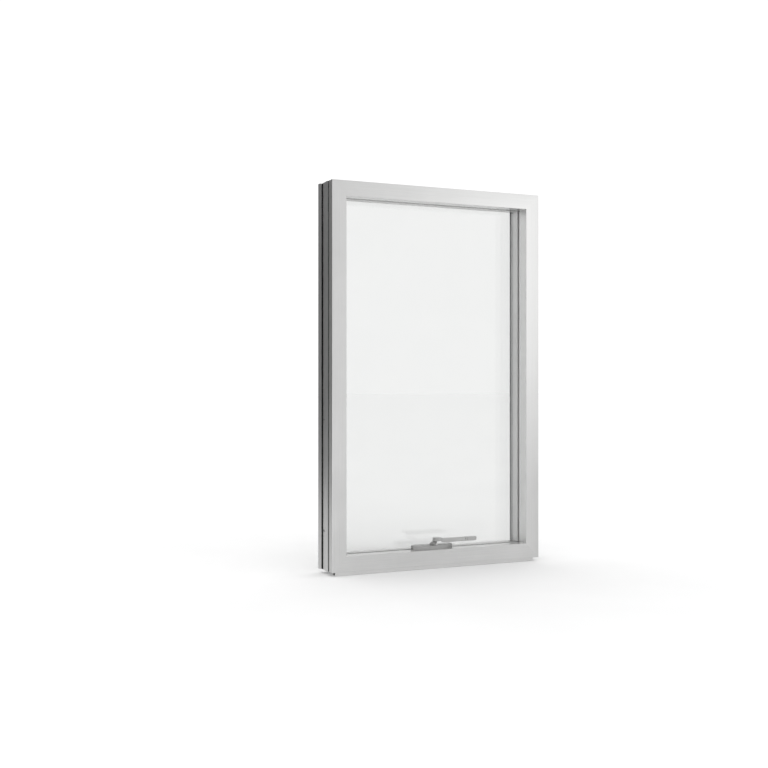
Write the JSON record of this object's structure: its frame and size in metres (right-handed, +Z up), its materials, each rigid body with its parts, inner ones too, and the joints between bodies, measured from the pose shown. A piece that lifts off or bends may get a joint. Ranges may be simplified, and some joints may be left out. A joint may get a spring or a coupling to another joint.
{
  "type": "crank-operated awning window",
  "caption": "Top-hung outswinging aluminium window with sealed double glazing, two-bar stays and a crank operator that winds the sash open from the sill.",
  "frame": {"origin": "centre of the base rail's underside, where the window stands on the opening's sill", "axes": "+Z up, +Y outdoors, +X to the right seen from the room"},
  "size_m": [0.61, 0.1121, 0.9895],
  "materials": {
    "frame_metal": "satin clear anodised extrusion",
    "sash_metal": "satin clear anodised extrusion",
    "polyamide": "glass-filled polyamide, matte black",
    "black_rubber": "extruded EPDM, matte black",
    "grey_gasket": "extruded gasket or seal, light grey",
    "glass": "clear float glass",
    "spacer_metal": "roll-formed spacer bar, dull grey",
    "sealant": "butyl and polysulphide, black",
    "block_plastic": "moulded setting block",
    "stainless": "brushed stainless strip",
    "shoe_plastic": "moulded nylon shoe with steel pin",
    "operator_metal": "powder-coated die-cast zinc, satin grey",
    "gear_steel": "hardened steel, zinc plated",
    "screw_steel": "stainless screw",
    "weep_plastic": "grey moulded cover"
  },
  "bodies": {
    "frame": {"frame_sill_inner": "frame_metal", "frame_head_inner": "frame_metal", "frame_jamb_left_inner": "frame_metal", "frame_jamb_right_inner": "frame_metal", "frame_sill_outer": "frame_metal", "frame_head_outer": "frame_metal", "frame_jamb_left_outer": "frame_metal", "frame_jamb_right_outer": "frame_metal", "frame_thermal_breaks": "polyamide", "frame_bulb_seal": "grey_gasket", "frame_corner_keys": "spacer_metal", "perimeter_seal": "black_rubber", "base_rail": "frame_metal", "weep_covers": "weep_plastic", "stay_track_left": "stainless", "stay_track_right": "stainless", "stay_track_screws": "screw_steel", "operator_body": "operator_metal", "operator_cover": "operator_metal", "operator_screws": "screw_steel"},
    "sash": {"sash_bottom_inner": "sash_metal", "sash_top_inner": "sash_metal", "sash_left_inner": "sash_metal", "sash_right_inner": "sash_metal", "sash_bottom_outer": "sash_metal", "sash_top_outer": "sash_metal", "sash_left_outer": "sash_metal", "sash_right_outer": "sash_metal", "glazing_bead_bottom": "sash_metal", "glazing_bead_top": "sash_metal", "glazing_bead_left": "sash_metal", "glazing_bead_right": "sash_metal", "sash_thermal_breaks": "polyamide", "sash_corner_keys": "spacer_metal", "glass_pane_room": "glass", "glass_pane_outdoor": "glass", "glass_edge_sealant": "sealant", "glass_spacer_bar": "spacer_metal", "glazing_gasket_room": "grey_gasket", "glazing_gasket_outdoor": "grey_gasket", "setting_blocks": "block_plastic", "stay_sash_plate_left": "stainless", "stay_sash_plate_right": "stainless", "stay_plate_screws": "screw_steel", "sash_bracket": "stainless", "bracket_screws": "screw_steel"},
    "support_arm_left": {"stay_support_arm_left": "stainless"},
    "support_arm_right": {"stay_support_arm_right": "stainless"},
    "shoe_left": {"stay_shoe_left": "shoe_plastic"},
    "shoe_right": {"stay_shoe_right": "shoe_plastic"},
    "gear_arm_left": {"gear_arm_left": "gear_steel"},
    "gear_arm_right": {"gear_arm_right": "gear_steel"},
    "push_link_left": {"push_link_left": "gear_steel"},
    "push_link_right": {"push_link_right": "gear_steel"},
    "crank": {"worm_shaft": "gear_steel", "crank_handle": "operator_metal", "crank_set_screw": "screw_steel", "grip_pin": "screw_steel"},
    "grip": {"folding_grip": "operator_metal"}
  },
  "joints": [
    {"name": "sash_swing", "type": "hinge", "parent": "support_arm_left", "child": "sash", "pos_m": [-0.285, 0.031, 0.7095], "axis": [1, 0, 0], "range_deg": [0, 24]},
    {"name": "support_arm_pivot_left", "type": "hinge", "parent": "frame", "child": "support_arm_left", "pos_m": [-0.285, 0.031, 0.4495], "axis": [1, 0, 0], "range_deg": [-12, 0]},
    {"name": "shoe_pivot_left", "type": "hinge", "parent": "sash", "child": "shoe_left", "pos_m": [-0.285, 0.031, 0.9695], "axis": [1, 0, 0], "range_deg": [-12, 0]},
    {"name": "gear_arm_pivot_left", "type": "hinge", "parent": "frame", "child": "gear_arm_left", "pos_m": [-0.02587, 0.008, 0.0375], "axis": [0, 0, 1], "range_deg": [-23.64, 0]},
    {"name": "link_knee_left", "type": "hinge", "parent": "gear_arm_left", "child": "push_link_left", "pos_m": [-0.27058, 0.02, 0.0265], "axis": [0, 0, 1], "range_deg": [0, 47.27]},
    {"name": "support_arm_pivot_right", "type": "hinge", "parent": "frame", "child": "support_arm_right", "pos_m": [0.285, 0.031, 0.4495], "axis": [1, 0, 0], "range_deg": [-12, 0]},
    {"name": "shoe_pivot_right", "type": "hinge", "parent": "sash", "child": "shoe_right", "pos_m": [0.285, 0.031, 0.9695], "axis": [1, 0, 0], "range_deg": [-12, 0]},
    {"name": "gear_arm_pivot_right", "type": "hinge", "parent": "frame", "child": "gear_arm_right", "pos_m": [-0.00039, 0.008, 0.0375], "axis": [0, 0, 1], "range_deg": [0, 23.64]},
    {"name": "link_knee_right", "type": "hinge", "parent": "gear_arm_right", "child": "push_link_right", "pos_m": [0.24431, 0.02, 0.0265], "axis": [0, 0, 1], "range_deg": [-47.27, 0]},
    {"name": "crank_spin", "type": "hinge", "parent": "frame", "child": "crank", "pos_m": [-0.0135, 0.008, 0.055], "axis": [0, -0.8387, 0.5446], "range_deg": [0, 850.1]},
    {"name": "grip_fold", "type": "hinge", "parent": "crank", "child": "grip", "pos_m": [0.072, -0.03026, 0.07502], "axis": [0, 0, -1], "range_deg": [0, 90]}
  ],
  "couplings": [
    {"joint": "support_arm_pivot_left", "follows": "sash_swing", "ratio": -0.5},
    {"joint": "shoe_pivot_left", "follows": "sash_swing", "ratio": -0.5},
    {"joint": "gear_arm_pivot_left", "follows": "sash_swing", "ratio": -0.9828},
    {"joint": "link_knee_left", "follows": "sash_swing", "ratio": 1.9656},
    {"joint": "support_arm_pivot_right", "follows": "sash_swing", "ratio": -0.5},
    {"joint": "shoe_pivot_right", "follows": "sash_swing", "ratio": -0.5},
    {"joint": "gear_arm_pivot_right", "follows": "sash_swing", "ratio": 0.9828},
    {"joint": "link_knee_right", "follows": "sash_swing", "ratio": -1.9656},
    {"joint": "crank_spin", "follows": "sash_swing", "ratio": 35.381}
  ]
}
